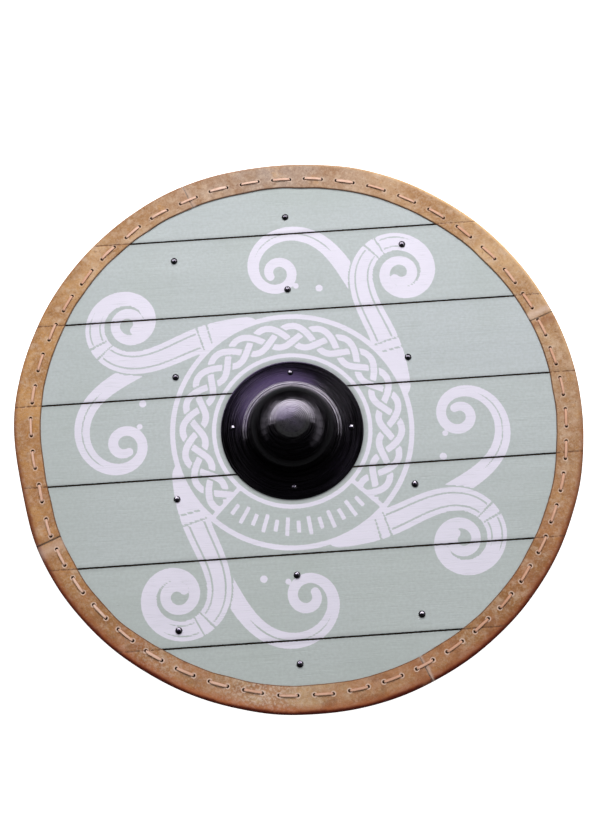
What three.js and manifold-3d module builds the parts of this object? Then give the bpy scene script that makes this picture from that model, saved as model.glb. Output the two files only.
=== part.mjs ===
// Wooden round shield lying on its back: seven planks held by two battens and the handle,
// an iron boss over the hand hole, and a leather edge laced on with one running thong.
// Millimetres. X runs along the planks, +Z out of the painted face, the floor is z = 0,
// and the origin is under the centre of the round outline.
import * as THREE from 'three';
import { mergeGeometries, mergeVertices } from 'three/addons/utils/BufferGeometryUtils.js';
import Module from 'manifold-3d';

const wasm = await Module();
wasm.setup();

const degree = Math.PI / 180;

// Clearances
const touchGap = 0.3; // between pieces that bear on each other
const fitGap = 0.3; // round a shank or the thong in its hole
const buttGap = 0.6; // between the ends of two lengths of leather

// Board
const shieldDiameter = 800; // over the leather
const plankCount = 7;
const plankWidth = 117.5;
const plankThickness = 10;
const seamGap = 0.5;
const seamChamfer = 1; // on the face edges of each plank
const roundSides = 44; // flats of the round outline
const holeWeb = 6.5; // wood left beside the hand hole in the middle plank

// Where the boss and the middle plank sit, from the centre of the outline
const bossX = -8.4;
const bossY = -6.75;

// Leather edge
const leatherThickness = 2;
const bandWidth = 38; // on the face and on the back
const edgeRound = 2.5; // corner of the folded edge
const leatherJoints = [20.8, 111.2, 202, 293]; // degrees round from +X

// Thong
const stitchCount = 50;
const stitchLength = 24.6;
const laceInset = 24.5; // stitch line from the outer edge
const laceWidth = 3.4;
const laceThickness = 1.6;
const laceEndGap = 4; // between its two ends, on the back
const firstStitch = 4.3; // degrees
const stitchDrift = 0.9; // degrees that hand spacing wanders round the edge
const driftPhase = 60; // degrees

// Battens and handle, all leaning alike over the planks
const backLean = 1.95 * degree;
const battenThickness = 14.7;
const battenWidth = 30;
const battenSpread = 329.8; // between the two battens' middles
const battenShift = 2.6; // their common offset from the boss
const battenEdge = 2; // bevel
const backEndGap = 4; // from a batten's end to the leather
const handleEndWidth = 36;
const gripWidth = 28;
const gripLength = 130;
const gripFlare = 60; // length over which the grip widens
const handleEdge = 4; // bevel

// Iron boss
const bossRadius = 100;
const domeRadius = 66;
const bossHeight = 58;
const bossWall = 1.8;
const flangeRise = 2; // from the flange's edge to its bead
const beadWidth = 4.5;
const beadRise = 1.3;
const domeSteps = 5;
const bossSides = 24;

// Nails and rivets
const nailHead = 9.5;
const nailHeadRise = 3.6;
const rivetHead = 8;
const rivetHeadRise = 3.2;
const shankWidth = 4;
const tipRecess = 0.5; // nail tips stop this far above the floor
const rivetTail = 7; // hammered tail behind a plank
const rivetTailRise = 2;
const headSides = 6;
const outerNailMargin = { left: [25, 18], right: [22, 18] }; // from a batten's two ends
const innerNailShare = { left: [0.75, -0.75], right: [0.81, -0.76] }; // of a plank's width
const handleNailShare = [1.775, -1.745]; // of a plank's width
const edgeNailShare = [0.35, 0.52]; // of the way from the last seam to the leather

// Worked out from the above
const shieldRadius = shieldDiameter / 2;
const channelRadius = shieldRadius - leatherThickness;
const boardRadius = channelRadius - touchGap;
const bandRadius = shieldRadius - bandWidth;
const laceRadius = shieldRadius - laceInset;
const plankBack = battenThickness + touchGap;
const plankFace = plankBack + plankThickness;
const leatherTop = plankFace + touchGap + leatherThickness;
const leatherBottom = plankBack - touchGap - leatherThickness;
const bossSeat = plankFace + touchGap;
const handHoleRadius = (plankWidth - seamGap) / 2 - holeWeb;
const rivetCircle = (domeRadius + bossRadius) / 2;
const beadFoot = domeRadius + beadWidth / 2;
const lastSeam = (plankCount / 2 - 1) * plankWidth;
const overcut = 5; // cutting solids run past what they cut by this much

const oak = { roughness: 0.75, metalness: 0 };
const materials = {
  paint: new THREE.MeshStandardMaterial({ color: 0xbec6c7, ...oak }),
  wood: new THREE.MeshStandardMaterial({ color: 0xa98560, ...oak }),
  leather: new THREE.MeshStandardMaterial({ color: 0xb08a68, roughness: 0.7, metalness: 0 }),
  lace: new THREE.MeshStandardMaterial({ color: 0xd2a184, roughness: 0.6, metalness: 0 }),
  iron: new THREE.MeshStandardMaterial({ color: 0x141216, roughness: 0.3, metalness: 1 }),
};

// Closed geometry to a solid, without the faces that have no area
function solidFrom(geometry) {
  const bare = geometry.clone();
  bare.deleteAttribute('normal');
  bare.deleteAttribute('uv');
  const merged = mergeVertices(bare, 1e-4);
  const corners = [];
  for (let i = 0; i < merged.index.count; i += 3) {
    const [a, b, c] = [0, 1, 2].map((k) => merged.index.getX(i + k));
    if (a !== b && b !== c && c !== a) corners.push(a, b, c);
  }
  return new wasm.Manifold(new wasm.Mesh({
    numProp: 3,
    vertProperties: new Float32Array(merged.attributes.position.array),
    triVerts: new Uint32Array(corners),
  }));
}

function geometryFrom(solid) {
  const { vertProperties, triVerts } = solid.getMesh();
  const geometry = new THREE.BufferGeometry();
  geometry.setAttribute('position', new THREE.BufferAttribute(vertProperties, 3));
  geometry.setIndex(new THREE.BufferAttribute(triVerts, 1));
  geometry.computeVertexNormals();
  return geometry;
}

// Upright prism over an outline, from one height to another
function prism(outline, low, high) {
  const shape = new THREE.Shape(outline.map(([x, y]) => new THREE.Vector2(x, y)));
  return new THREE.ExtrudeGeometry(shape, { depth: high - low, bevelEnabled: false })
    .translate(0, 0, low);
}

// Profile of [radius, height] points turned round the Z axis
function turned(profile, sides) {
  const points = profile.map(([r, z]) => new THREE.Vector2(r, z));
  return new THREE.LatheGeometry(points, sides).rotateX(Math.PI / 2);
}

function place(name, geometry, material) {
  const mesh = new THREE.Mesh(geometry, material);
  mesh.name = name;
  return mesh;
}

// Stitches: the angle of each middle, and the thong's two holes in it
const stitchTurns = Array.from({ length: stitchCount }, (_, k) => {
  const even = (360 * k) / stitchCount + firstStitch;
  return (even + stitchDrift * Math.cos((even + driftPhase) * degree)) * degree;
});
const halfStitch = stitchLength / 2 / laceRadius;

// Three-sided awl hole that the thong passes, widest on its stitch's side
const slotAcross = laceWidth / 2 + fitGap;
const slotAlong = laceThickness / 2 + fitGap;
const awlDepth = 5 * slotAlong;
const awlHalf = slotAcross / (1 - (2 * slotAlong) / awlDepth);

function stitchHoles(low, high) {
  const holes = stitchTurns.flatMap((turn) => [-1, 1].map((side) => {
    const outline = [
      [laceRadius - awlHalf, -side * slotAlong], [laceRadius + awlHalf, -side * slotAlong],
      [laceRadius, side * (awlDepth - slotAlong)],
    ];
    return prism(outline, low, high).rotateZ(turn + side * halfStitch);
  }));
  return solidFrom(mergeGeometries(holes));
}
const stitchCut = stitchHoles(leatherBottom - overcut, leatherTop + overcut);

// The leaning lines of nails behind the board
function lineSpot(across, rise) {
  return [bossX + across / Math.cos(backLean) + rise * Math.tan(backLean), bossY + rise];
}

// How far a leaning bar can reach up and down before it meets the leather
function barReach(across, width) {
  const lean = bandRadius * Math.tan(backLean);
  const farSide = Math.abs(bossX) + Math.abs(across) + width / 2 + lean;
  return Math.sqrt((bandRadius - backEndGap) ** 2 - farSide ** 2) - Math.abs(bossY);
}

const battenAcross = { left: battenShift - battenSpread / 2, right: battenShift + battenSpread / 2 };
const battenReach = barReach(Math.max(...Object.values(battenAcross)), battenWidth);
const handleReach = barReach(0, handleEndWidth);

// Every nail: where it stands, and how it ends
const nails = [];
for (const side of ['left', 'right']) {
  const [topMargin, endMargin] = outerNailMargin[side];
  const [upper, lower] = innerNailShare[side];
  const rises = [
    battenReach - topMargin, upper * plankWidth, lower * plankWidth, endMargin - battenReach,
  ];
  rises.forEach((rise, i) => {
    nails.push({ name: `nail_${side}_${i + 1}`, spot: lineSpot(battenAcross[side], rise) });
  });
}
const edgeAbove = bandRadius - bossY;
const edgeBelow = bandRadius + bossY;
const handleRises = [
  lastSeam + edgeNailShare[0] * (edgeAbove - lastSeam), handleNailShare[0] * plankWidth,
  handleNailShare[1] * plankWidth, -lastSeam - edgeNailShare[1] * (edgeBelow - lastSeam),
];
handleRises.forEach((rise, i) => {
  nails.push({ name: `nail_middle_${i + 1}`, spot: lineSpot(0, rise) });
});
const rivetTurns = { right: 0, top: 90, left: 176.7, bottom: 270 };
const rivets = Object.entries(rivetTurns).map(([side, turn]) => {
  const angle = turn * degree - backLean;
  const spot = [bossX + rivetCircle * Math.cos(angle), bossY + rivetCircle * Math.sin(angle)];
  return { name: `boss_rivet_${side}`, spot, intoHandle: side === 'top' || side === 'bottom' };
});

// Square holes for all the shanks, in the board's frame
function shankHoles() {
  const half = shankWidth / 2 + fitGap;
  const square = [[-half, -half], [half, -half], [half, half], [-half, half]];
  const holes = [...nails, ...rivets].map(({ spot: [x, y] }) => (
    prism(square, -overcut, bossSeat + bossWall + overcut).rotateZ(-backLean).translate(x, y, 0)
  ));
  return solidFrom(mergeGeometries(holes));
}
const shankCut = shankHoles();

// Planks: a chamfered section along X, cut round by the disc
function plankSolid(index) {
  const middle = bossY + ((plankCount - 1) / 2 - index) * plankWidth;
  const half = (plankWidth - seamGap) / 2;
  const top = index === 0 ? shieldRadius : middle + half;
  const bottom = index === plankCount - 1 ? -shieldRadius : middle - half;
  const shoulder = plankFace - seamChamfer;
  const section = [
    [bottom, plankBack], [top, plankBack], [top, shoulder], [top - seamChamfer, plankFace],
    [bottom + seamChamfer, plankFace], [bottom, shoulder],
  ];
  const alongX = new THREE.Matrix4().makeBasis(
    new THREE.Vector3(0, 1, 0), new THREE.Vector3(0, 0, 1), new THREE.Vector3(1, 0, 0),
  );
  return solidFrom(prism(section, -shieldRadius, shieldRadius).applyMatrix4(alongX));
}

function makePlanks() {
  const disc = solidFrom(turned([
    [0, plankBack - overcut], [boardRadius, plankBack - overcut],
    [boardRadius, plankFace + overcut], [0, plankFace + overcut],
  ], roundSides));
  const handHole = solidFrom(turned([
    [0, plankBack - overcut], [handHoleRadius, plankBack - overcut],
    [handHoleRadius, plankFace + overcut], [0, plankFace + overcut],
  ], bossSides).translate(bossX, bossY, 0));
  const board = disc.subtract(handHole).subtract(shankCut).subtract(stitchCut);
  return Array.from({ length: plankCount }, (_, i) => (
    place(`plank_${i + 1}`, geometryFrom(plankSolid(i).intersect(board)), materials.paint)
  ));
}

// Leather: a channel turned round the board, cut into lengths that butt
function makeLeather() {
  const channelTop = leatherTop - leatherThickness;
  const channelBottom = leatherBottom + leatherThickness;
  const ring = solidFrom(turned([
    [bandRadius, leatherBottom], [shieldRadius - edgeRound, leatherBottom],
    [shieldRadius, leatherBottom + edgeRound], [shieldRadius, leatherTop - edgeRound],
    [shieldRadius - edgeRound, leatherTop], [bandRadius, leatherTop],
    [bandRadius, channelTop], [channelRadius, channelTop],
    [channelRadius, channelBottom], [bandRadius, channelBottom],
    [bandRadius, leatherBottom],
  ], roundSides));
  const laced = ring.subtract(stitchCut);
  const far = 2 * shieldRadius;
  return leatherJoints.map((from, i) => {
    const to = leatherJoints[(i + 1) % leatherJoints.length] + (i + 1 < leatherJoints.length ? 0 : 360);
    const inset = buttGap / 2 / shieldRadius;
    const ends = [from * degree + inset, ((from + to) / 2) * degree, to * degree - inset];
    const wedge = prism(
      [[0, 0], ...ends.map((turn) => [far * Math.cos(turn), far * Math.sin(turn)])],
      leatherBottom - overcut, leatherTop + overcut,
    );
    const length = geometryFrom(laced.intersect(solidFrom(wedge)));
    return place(`leather_rim_${i + 1}`, length, materials.leather);
  });
}

// Thong: its zigzag seen from the edge, drawn flat and then bent round the stitch line
function makeLace() {
  const overTop = leatherTop + touchGap + laceThickness;
  const overUnder = leatherTop + touchGap;
  const backTop = leatherBottom - touchGap;
  const backUnder = backTop - laceThickness;
  const half = laceThickness / 2;
  const upper = [];
  const lower = [];
  for (const turn of stitchTurns) {
    const down = (turn - halfStitch) * laceRadius;
    const up = (turn + halfStitch) * laceRadius;
    upper.push([down - half, backTop], [down - half, overTop], [up + half, overTop], [up + half, backTop]);
    lower.push([down + half, backUnder], [down + half, overUnder]);
    lower.push([up - half, overUnder], [up - half, backUnder]);
  }
  const round = 2 * Math.PI * laceRadius;
  const lastEnd = upper.at(-1)[0] - round;
  const seam = (lastEnd + upper[0][0]) / 2;
  const start = seam + laceEndGap / 2;
  const end = seam + round - laceEndGap / 2;
  const outline = [
    [start, backUnder], ...lower, [end, backUnder], [end, backTop], ...upper.reverse(), [start, backTop],
  ];
  const flat = prism(outline, laceRadius - laceWidth / 2, laceRadius + laceWidth / 2);
  const points = flat.attributes.position;
  for (let i = 0; i < points.count; i += 1) {
    const turn = points.getX(i) / laceRadius;
    const radius = points.getZ(i);
    points.setXYZ(i, radius * Math.cos(turn), radius * Math.sin(turn), points.getY(i));
  }
  return place('lace', geometryFrom(solidFrom(flat)), materials.lace);
}

// How far the sloping flange has risen at a radius
function flangeLift(radius) {
  return (flangeRise * (bossRadius - radius)) / (bossRadius - beadFoot);
}

// Boss: an even wall from the inside of the dome out to the flange's edge and back over a bead
function makeBoss() {
  const arc = (radius, rise, base) => Array.from({ length: domeSteps + 1 }, (_, i) => {
    const turn = (i / domeSteps) * 90 * degree;
    return [i === domeSteps ? 0 : radius * Math.cos(turn), base + rise * Math.sin(turn)];
  });
  const flangeTop = bossWall + flangeRise;
  const domeFoot = flangeTop + beadRise / 2;
  const outside = arc(domeRadius - beadWidth / 2, bossHeight - domeFoot, domeFoot);
  const inside = arc(
    domeRadius - beadWidth / 2 - bossWall, bossHeight - flangeTop, flangeRise,
  );
  const profile = [
    ...inside.reverse(), [beadFoot, flangeRise], [bossRadius, 0], [bossRadius, bossWall],
    [beadFoot, flangeTop], [domeRadius, flangeTop + beadRise], ...outside,
  ];
  const shell = solidFrom(turned(profile, bossSides).translate(bossX, bossY, bossSeat));
  return place('boss', geometryFrom(shell.subtract(shankCut)), materials.iron);
}

// A domed head on a square shank, seated at its own z = 0, with an optional hammered tail
function nailSolid(head, rise, length, tail) {
  const half = shankWidth / 2;
  const dome = turned([
    [0, 0], [head / 2, 0], [head * 0.42, rise * 0.6], [0, rise],
  ], headSides);
  const square = [[-half, -half], [half, -half], [half, half], [-half, half]];
  const shank = solidFrom(prism(square, -length, rise / 3));
  let nail = solidFrom(dome).add(shank);
  if (tail) {
    const knob = turned([
      [0, -length], [tail / 2, -length], [tail / 2, -length + rivetTailRise], [0, -length + rivetTailRise],
    ], headSides);
    nail = nail.add(solidFrom(knob));
  }
  return nail;
}

function makeNails() {
  const nailSeat = plankFace + touchGap;
  const rivetSeat = bossSeat + bossWall + flangeLift(rivetCircle - rivetHead / 2) + touchGap;
  const tailLow = plankBack - touchGap - rivetTailRise;
  const standing = (name, spot, seat, solid) => {
    const nail = place(name, geometryFrom(solid), materials.iron);
    nail.position.set(spot[0], spot[1], seat);
    nail.rotation.z = -backLean;
    return nail;
  };
  return [
    ...nails.map(({ name, spot }) => standing(
      name, spot, nailSeat, nailSolid(nailHead, nailHeadRise, nailSeat - tipRecess, 0),
    )),
    ...rivets.map(({ name, spot, intoHandle }) => standing(
      name, spot, rivetSeat, intoHandle
        ? nailSolid(rivetHead, rivetHeadRise, rivetSeat - tipRecess, 0)
        : nailSolid(rivetHead, rivetHeadRise, rivetSeat - tailLow, rivetTail),
    )),
  ];
}

// A bar behind the planks: a bevelled outline in plan, leaned, then drilled for the shanks
function bar(name, outline, edge, across) {
  const [x, y] = lineSpot(across, 0);
  const body = new THREE.ExtrudeGeometry(outline, {
    depth: battenThickness - 2 * edge, bevelThickness: edge, bevelSize: edge,
    bevelOffset: -edge, bevelSegments: 1, curveSegments: 3,
  }).translate(0, 0, edge).rotateZ(-backLean).translate(x, y, 0);
  return place(name, geometryFrom(solidFrom(body).subtract(shankCut)), materials.wood);
}

function makeBars() {
  const battens = Object.entries(battenAcross).map(([side, across]) => {
    const half = battenWidth / 2;
    const outline = new THREE.Shape();
    outline.moveTo(-half, -battenReach).lineTo(half, -battenReach);
    outline.lineTo(half, battenReach).lineTo(-half, battenReach);
    return bar(`batten_${side}`, outline, battenEdge, across);
  });
  const wide = handleEndWidth / 2;
  const slim = gripWidth / 2;
  const grip = gripLength / 2;
  const flare = grip + gripFlare;
  const bend = grip + gripFlare / 2;
  const outline = new THREE.Shape();
  outline.moveTo(-wide, -handleReach).lineTo(wide, -handleReach).lineTo(wide, -flare);
  outline.bezierCurveTo(wide, -bend, slim, -bend, slim, -grip).lineTo(slim, grip);
  outline.bezierCurveTo(slim, bend, wide, bend, wide, flare).lineTo(wide, handleReach);
  outline.lineTo(-wide, handleReach).lineTo(-wide, flare);
  outline.bezierCurveTo(-wide, bend, -slim, bend, -slim, grip).lineTo(-slim, -grip);
  outline.bezierCurveTo(-slim, -bend, -wide, -bend, -wide, -flare);
  return [...battens, bar('handle', outline, handleEdge, 0)];
}

const group = new THREE.Group();
group.add(...makePlanks(), ...makeLeather(), makeLace(), makeBoss(), ...makeNails(), ...makeBars());

export default group;
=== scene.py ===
import math

import bpy
import numpy as np
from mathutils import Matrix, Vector


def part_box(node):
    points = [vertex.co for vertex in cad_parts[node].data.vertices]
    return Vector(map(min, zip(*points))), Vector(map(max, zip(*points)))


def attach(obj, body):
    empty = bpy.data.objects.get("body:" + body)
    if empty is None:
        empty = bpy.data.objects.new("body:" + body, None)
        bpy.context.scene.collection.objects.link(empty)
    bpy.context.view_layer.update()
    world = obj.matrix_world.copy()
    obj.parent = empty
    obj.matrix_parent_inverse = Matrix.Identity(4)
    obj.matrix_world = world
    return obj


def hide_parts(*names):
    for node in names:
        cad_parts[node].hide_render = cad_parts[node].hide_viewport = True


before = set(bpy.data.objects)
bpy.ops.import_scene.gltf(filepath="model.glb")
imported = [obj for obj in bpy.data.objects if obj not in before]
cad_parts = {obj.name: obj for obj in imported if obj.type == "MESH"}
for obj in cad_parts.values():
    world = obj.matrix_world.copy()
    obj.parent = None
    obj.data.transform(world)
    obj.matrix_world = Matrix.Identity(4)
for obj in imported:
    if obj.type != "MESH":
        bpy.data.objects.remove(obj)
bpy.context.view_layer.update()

mm = 0.001
degree = math.pi / 180


def boxOf(node):
    low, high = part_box(node)
    return np.array(low) / mm, np.array(high) / mm


def middleOf(node):
    low, high = boxOf(node)
    return (low + high) / 2


# Sizes shared by the pieces, in mm, read from the frame where it has them
shield = {
    "radius": boxOf("leather_rim_2")[0][0] * -1,
    "faceZ": boxOf("plank_4")[1][2],
    "backZ": boxOf("plank_4")[0][2],
    "leatherTop": boxOf("leather_rim_1")[1][2],
    "leatherBottom": boxOf("leather_rim_1")[0][2],
    "bandWidth": 38.0,
    "leatherThickness": 2.0,
    "lean": 1.95 * degree,      # of the battens and the nail lines
    "joints": (20.8, 111.2, 202.0, 293.0),    # degrees, where two lengths of leather meet
    "dips": ((91.0, 15.0, 4.2), (189.0, 9.5, 6.0)),    # degrees, spread, mm that the edge falls in
    "clear": 0.3,
}
shield["plankRadius"] = shield["radius"] - shield["leatherThickness"] - shield["clear"]
bossMiddle = middleOf("boss")[:2]
seams = [boxOf(f"plank_{i}")[0][1] - 0.25 for i in range(1, 7)]

print("frame loaded")


# Camera at the photograph's place: up in front of the shield, looking down at its face
cameraView = {
    "place": (-20.6, -558.3, 2108.7),    # mm
    "turn": (15.182, 0.389, -3.87),    # degrees
    "lens": 65.97, "sensor": 36.0,
}


def placeCamera(v):
    data = bpy.data.cameras.new("camera")
    data.lens, data.sensor_width = v["lens"], v["sensor"]
    camera = bpy.data.objects.new("camera", data)
    camera.location = Vector(v["place"]) * mm
    camera.rotation_euler = [angle * degree for angle in v["turn"]]
    bpy.context.scene.collection.objects.link(camera)
    bpy.context.scene.camera = camera


placeCamera(cameraView)


# Mesh helpers: points in mm, faces as rows of point numbers
def gridFaces(rows, columns, closeRows=False, closeColumns=False):
    r = np.arange(rows if closeRows else rows - 1)
    c = np.arange(columns if closeColumns else columns - 1)
    r, c = np.meshgrid(r, c, indexing="ij")
    r2, c2 = (r + 1) % rows, (c + 1) % columns
    quads = [r * columns + c, r * columns + c2, r2 * columns + c2, r2 * columns + c]
    return np.stack(quads, -1).reshape(-1, 4)


# The first and last row of a tube, each as one face
def endFaces(rows, count):
    return np.array([np.arange(count)[::-1], (rows - 1) * count + np.arange(count)])


# Faces turned so that a closed piece has its outside out
def facedOut(points, faceSets):
    volume = 0
    for faces in faceSets:
        for i in range(1, faces.shape[1] - 1):
            a, b, c = points[faces[:, 0]], points[faces[:, i]], points[faces[:, i + 1]]
            volume += (a * np.cross(b, c)).sum()
    return [faces[:, ::-1] for faces in faceSets] if volume < 0 else faceSets


def makePiece(name, points, faceSets, sharpAngle=38):
    faceSets = facedOut(points, faceSets)
    mesh = bpy.data.meshes.new(name)
    mesh.vertices.add(len(points))
    setPoints(mesh, points)
    corners = np.concatenate([np.asarray(f).ravel() for f in faceSets]).astype(np.int32)
    sizes = np.concatenate([np.full(len(f), len(f[0])) for f in faceSets])
    starts = np.concatenate([[0], sizes.cumsum()[:-1]]).astype(np.int32)
    mesh.loops.add(len(corners))
    mesh.loops.foreach_set("vertex_index", corners)
    mesh.polygons.add(len(sizes))
    mesh.polygons.foreach_set("loop_start", starts)
    mesh.update(calc_edges=True)
    mesh.validate()
    piece = bpy.data.objects.new(name, mesh)
    bpy.context.scene.collection.objects.link(piece)
    smoothPiece(piece, sharpAngle)
    return piece


def smoothPiece(piece, sharpAngle):
    piece.data.shade_smooth()
    piece.data.set_sharp_from_angle(angle=sharpAngle * degree)


def setPoints(mesh, points):
    mesh.vertices.foreach_set("co", (np.asarray(points) * mm).astype(np.float32).ravel())


def pointsOf(piece):
    flat = np.empty(len(piece.data.vertices) * 3, np.float32)
    piece.data.vertices.foreach_get("co", flat)
    return flat.reshape(-1, 3).astype(float) / mm


def writeMark(piece, name, values):
    made = piece.data.attributes.new(name, "FLOAT", "POINT")
    made.data.foreach_set("value", np.asarray(values, np.float32))


def cutAway(piece, cutter, sharpAngle=38):
    cut = piece.modifiers.new("cut", "BOOLEAN")
    cut.operation, cut.solver, cut.object = "DIFFERENCE", "MANIFOLD", cutter
    graph = bpy.context.evaluated_depsgraph_get()
    after = bpy.data.meshes.new_from_object(piece.evaluated_get(graph))
    piece.modifiers.clear()
    before, piece.data = piece.data, after
    after.name = piece.name
    bpy.data.meshes.remove(before)
    smoothPiece(piece, sharpAngle)


# Upright prisms on the given spots, as one cutting piece
def makeCutter(name, spots, radius, low, high, sides):
    angles = (np.arange(sides) + 0.5) * 2 * math.pi / sides
    ring = np.stack([np.cos(angles), np.sin(angles)], 1) * radius
    points, quads, caps = [], [], []
    for i, spot in enumerate(spots):
        for z in (low, high):
            points.append(np.column_stack([ring + spot[:2], np.full(sides, z)]))
        first = 2 * sides * i
        quads.append(gridFaces(2, sides, closeColumns=True) + first)
        caps.append(first + np.arange(sides)[::-1])
        caps.append(first + sides + np.arange(sides))
    cutter = makePiece(name, np.concatenate(points), [np.concatenate(quads), np.array(caps)])
    cutter.hide_render = True
    return cutter


# Soft lumps in space, from -1 to 1: blended random values on a lattice
def clouds(points, size, seed):
    grid = np.asarray(points) / size + 1000.0
    cell = np.floor(grid).astype(np.int64)
    f = grid - cell
    f = f * f * (3 - 2 * f)
    total = np.zeros(len(grid))
    for dx in (0, 1):
        for dy in (0, 1):
            for dz in (0, 1):
                key = (cell[:, 0] + dx) * 73856093 ^ (cell[:, 1] + dy) * 19349663
                key = (key ^ (cell[:, 2] + dz) * 83492791 ^ seed * 2654435761) & 0xFFFFFFFF
                key = (key * 1103515245 + 12345) & 0x7FFFFFFF
                key = (key ^ (key >> 15)) * 69069 & 0x7FFFFFFF
                value = (key >> 8) % 65536 / 32768.0 - 1
                wx = f[:, 0] if dx else 1 - f[:, 0]
                wy = f[:, 1] if dy else 1 - f[:, 1]
                wz = f[:, 2] if dz else 1 - f[:, 2]
                total += value * wx * wy * wz
    return total


def bump(values, centre, spread):
    return np.exp(-(((values - centre) / spread) ** 2))


# Sum of soft bumps round the edge: each has its place and spread in degrees, and its height
def aroundEdge(degrees, bumps):
    return sum(high * bump(turnFrom(degrees, place), 0, spread) for place, spread, high in bumps)


def turnFrom(degrees, place):
    return (degrees - place + 180) % 360 - 180


# How far the round edge falls in from a true circle, at each angle
def edgeDip(degrees):
    return aroundEdge(degrees, shield["dips"])


def polarOf(points):
    return np.degrees(np.arctan2(points[:, 1], points[:, 0])) % 360, np.hypot(points[:, 0], points[:, 1])


# Shader helpers. A socket knows the tree that it is in
def treeOf(*values):
    return next(v for v in values if isinstance(v, bpy.types.NodeSocket)).id_data


def fill(node, inputs):
    for key, value in inputs.items():
        if isinstance(value, bpy.types.NodeSocket):
            node.id_data.links.new(value, node.inputs[key])
        else:
            node.inputs[key].default_value = value
    return node


def add(tree, kind, inputs={}, **settings):
    made = tree.nodes.new("ShaderNode" + kind)
    for key, value in settings.items():
        setattr(made, key, value)
    return fill(made, inputs)


def calc(operation, a, b=0.0, clamp=False):
    return add(treeOf(a, b), "Math", {0: a, 1: b}, operation=operation, use_clamp=clamp).outputs[0]


def times(a, b):
    return calc("MULTIPLY", a, b)


def plus(a, b):
    return calc("ADD", a, b)


def minus(a, b):
    return calc("SUBTRACT", a, b)


def mixColour(share, a, b):
    tree = treeOf(share, a, b)
    a, b = [(*v, 1) if isinstance(v, tuple) else v for v in (a, b)]
    return add(tree, "Mix", {0: share, 6: a, 7: b}, data_type="RGBA").outputs[2]


# Colours laid over one another: each layer is a mask, its share and its colour
def layered(colour, *layers):
    for mask, share, tone in layers:
        colour = mixColour(times(mask, share), colour, tone)
    return colour


def ramp(value, low, high, start=0.0, end=1.0, soft=True):
    kind = "SMOOTHSTEP" if soft else "LINEAR"
    inputs = {0: value, 1: low, 2: high, 3: start, 4: end}
    return add(value.id_data, "MapRange", inputs, interpolation_type=kind).outputs[0]


def noise(where, scale, detail, **more):
    inputs = {"Vector": where, "Scale": scale, "Detail": detail, **more}
    return add(where.id_data, "TexNoise", inputs).outputs[0]


# A value that a piece's points carry, read in the tree of the socket given
def mark(where, name):
    return add(where.id_data, "Attribute", attribute_name=name).outputs["Fac"]


def newGroup(name, inputs, outputs):
    group = bpy.data.node_groups.new(name, "ShaderNodeTree")
    for label, kind, value in inputs:
        socket = group.interface.new_socket(name=label, in_out="INPUT", socket_type="NodeSocket" + kind)
        if value is not None:
            socket.default_value = value
    for label in outputs:
        group.interface.new_socket(name=label, in_out="OUTPUT", socket_type="NodeSocketFloat")
    return group, group.nodes.new("NodeGroupInput").outputs, group.nodes.new("NodeGroupOutput")


# Wood grain: long lines along X, with pores and slow bands of tone
def makeGrainGroup():
    group, given, out = newGroup(
        "woodGrain",
        [("Vector", "Vector", None), ("Stretch", "Float", 28.0), ("Size", "Float", 260.0),
         ("Seed", "Float", 0.0)],
        ["Lines", "Bands", "Pores"],
    )
    long = add(group, "CombineXYZ", {0: calc("DIVIDE", 1.0, given["Stretch"]), 1: 1.0, 2: 1.0})
    stretched = add(group, "VectorMath", {0: given["Vector"], 1: long.outputs[0]}, operation="MULTIPLY")
    offset = add(group, "CombineXYZ", {1: given["Seed"], 2: given["Seed"]})
    moved = add(group, "VectorMath", {0: stretched.outputs[0], 1: offset.outputs[0]}, operation="ADD")
    where, size = moved.outputs[0], given["Size"]
    lines = noise(where, size, 4.0, Roughness=0.6)
    bands = noise(where, times(size, 0.14), 2.0, Distortion=0.6)
    pores = noise(where, times(size, 3.4), 1.0)
    fill(out, {"Lines": ramp(lines, 0.3, 0.7), "Bands": ramp(bands, 0.3, 0.7),
               "Pores": ramp(pores, 0.58, 0.72)})
    return group


# Smudges and dust: blotches that gather and thin out
def makeSmudgeGroup():
    group, given, out = newGroup(
        "smudges",
        [("Vector", "Vector", None), ("Size", "Float", 30.0), ("Share", "Float", 0.5),
         ("Soft", "Float", 0.15)],
        ["Mask"],
    )
    blotch = noise(given["Vector"], given["Size"], 5.0, Roughness=0.62)
    limit = minus(1.0, given["Share"])
    fill(out, {"Mask": ramp(blotch, minus(limit, given["Soft"]), plus(limit, given["Soft"]))})
    return group


grainGroup = makeGrainGroup()
smudgeGroup = makeSmudgeGroup()


def woodGrain(where, stretch, size, seed):
    inputs = {"Vector": where, "Stretch": stretch, "Size": size, "Seed": seed}
    return add(where.id_data, "Group", inputs, node_tree=grainGroup).outputs


def smudges(where, size, share, soft):
    inputs = {"Vector": where, "Size": size, "Share": share, "Soft": soft}
    return add(where.id_data, "Group", inputs, node_tree=smudgeGroup).outputs["Mask"]


def newMaterial(name):
    material = bpy.data.materials.new(name)
    material.use_nodes = True
    tree = material.node_tree
    return material, tree.nodes["Principled BSDF"], add(tree, "TexCoord").outputs["Object"]


def linkBump(shader, height, strength, distance):
    made = add(shader.id_data, "Bump", {"Height": height, "Strength": strength, "Distance": distance})
    fill(shader, {"Normal": made.outputs[0]})


print("helpers ready")


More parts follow.
